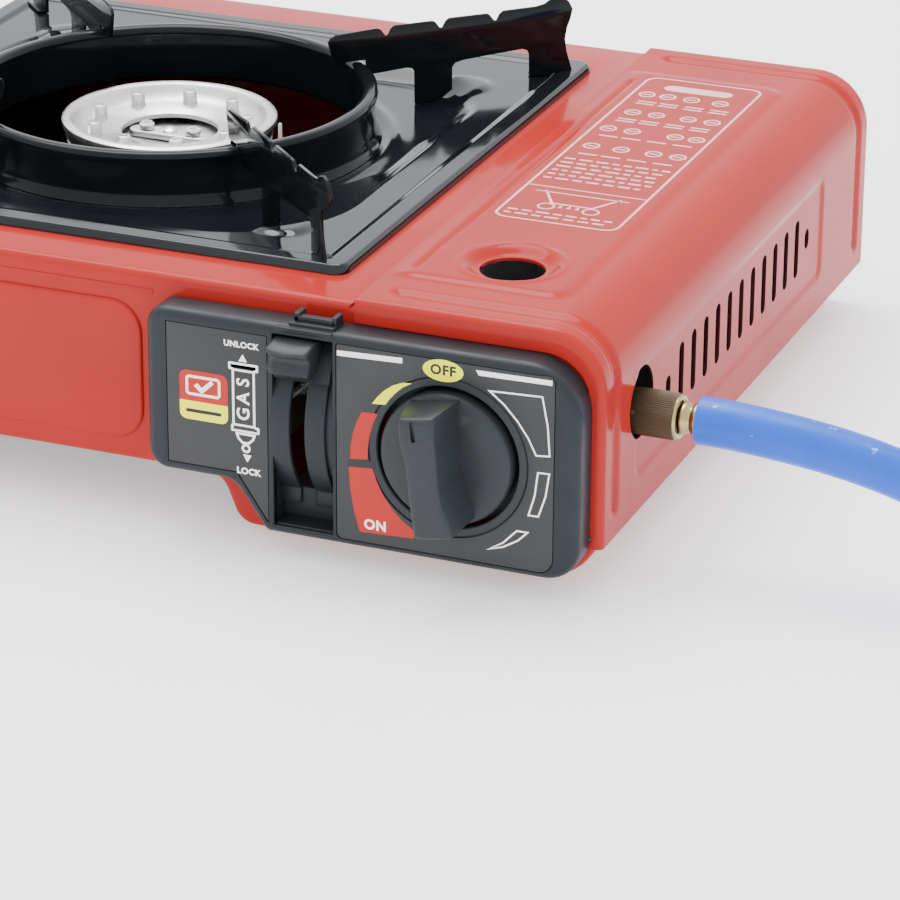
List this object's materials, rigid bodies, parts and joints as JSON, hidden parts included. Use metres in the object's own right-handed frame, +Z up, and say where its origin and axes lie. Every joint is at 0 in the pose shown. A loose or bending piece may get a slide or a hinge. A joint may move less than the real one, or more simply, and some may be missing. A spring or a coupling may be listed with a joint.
{
  "type": "camping stove",
  "caption": "Portable gas stove with one burner, a square drip tray with blade pan supports, a hinged lid over the cartridge bay, a control knob, a lock lever and a gas hose.",
  "frame": {"origin": "on the table, under the middle of the stove without its hose", "axes": "+X to the right along the length, from the burner to the cartridge bay; +Y to the back; +Z up"},
  "size_m": [0.705, 0.3174, 0.1195],
  "materials": {
    "red_paint": "glossy enamel on steel sheet",
    "black_enamel": "glossy black enamel on steel",
    "black_plastic": "satin moulded plastic",
    "decal_grey": "satin printed sheet",
    "galvanised": "zinc-plated steel",
    "cast_aluminium": "as cast, lightly blasted",
    "dark_brass": "dull, finely knurled",
    "brass": "turned",
    "rubber": "matte",
    "ceramic": "glazed white insulator",
    "blue_hose": "smooth blue hose"
  },
  "bodies": {
    "stove_body": {"body_casing": "red_paint", "base_plate": "galvanised", "heat_shield": "galvanised", "burner_bracket": "galvanised", "foot_front_left": "rubber", "foot_front_right": "rubber", "foot_rear_left": "rubber", "foot_rear_right": "rubber", "burner_base": "cast_aluminium", "burner_head": "cast_aluminium", "burner_bridge": "cast_aluminium", "bridge_screw_left": "cast_aluminium", "bridge_screw_right": "cast_aluminium", "electrode": "ceramic", "mixing_tube": "galvanised", "ignition_lead": "rubber", "piezo_igniter": "black_plastic", "regulator_body": "cast_aluminium", "inlet_fitting": "brass", "lever_bracket_left": "galvanised", "lever_bracket_right": "galvanised", "lever_pin": "galvanised", "carrier_rail_left": "galvanised", "carrier_rail_right": "galvanised", "control_bezel": "black_plastic", "decal_left": "decal_grey", "decal_right": "decal_grey", "hinge_pin_front": "galvanised", "hinge_pin_rear": "galvanised", "hose_nut": "dark_brass", "hose_barb": "brass", "hose": "blue_hose", "hose_coil": "blue_hose", "hose_end_fitting": "brass"},
    "lid": {"lid": "red_paint"},
    "control_knob": {"knob": "black_plastic", "valve_stem": "brass"},
    "lock_lever": {"lever": "black_plastic"},
    "cartridge_carrier": {"cartridge_carrier": "galvanised"},
    "tray_set": {"drip_tray": "black_enamel", "wind_ring": "black_enamel", "pan_support_front_left": "black_enamel", "pan_support_front_right": "black_enamel", "pan_support_rear_left": "black_enamel", "pan_support_rear_right": "black_enamel"}
  },
  "joints": [
    {"name": "knob_turn", "type": "hinge", "parent": "stove_body", "child": "control_knob", "pos_m": [0.1225, -0.14075, 0.0453], "axis": [0, -1, 0], "range_deg": [0, 135]},
    {"name": "lever_turn", "type": "hinge", "parent": "stove_body", "child": "lock_lever", "pos_m": [0.0709, -0.10475, 0.046], "axis": [1, 0, 0], "range_deg": [0, 70]},
    {"name": "carrier_slide", "type": "slide", "parent": "stove_body", "child": "cartridge_carrier", "axis": [0, -1, 0], "range_m": [0, 0.0091]},
    {"name": "lid_hinge", "type": "hinge", "parent": "stove_body", "child": "lid", "pos_m": [0.166, 0.01625, 0.02], "axis": [0, 1, 0], "range_deg": [0, 22]},
    {"name": "tray_lift", "type": "slide", "parent": "stove_body", "child": "tray_set", "axis": [0, 0, 1], "range_m": [0, 0.04]}
  ],
  "couplings": [
    {"joint": "lever_turn", "follows": "carrier_slide", "rad_per_m": 134.2}
  ]
}
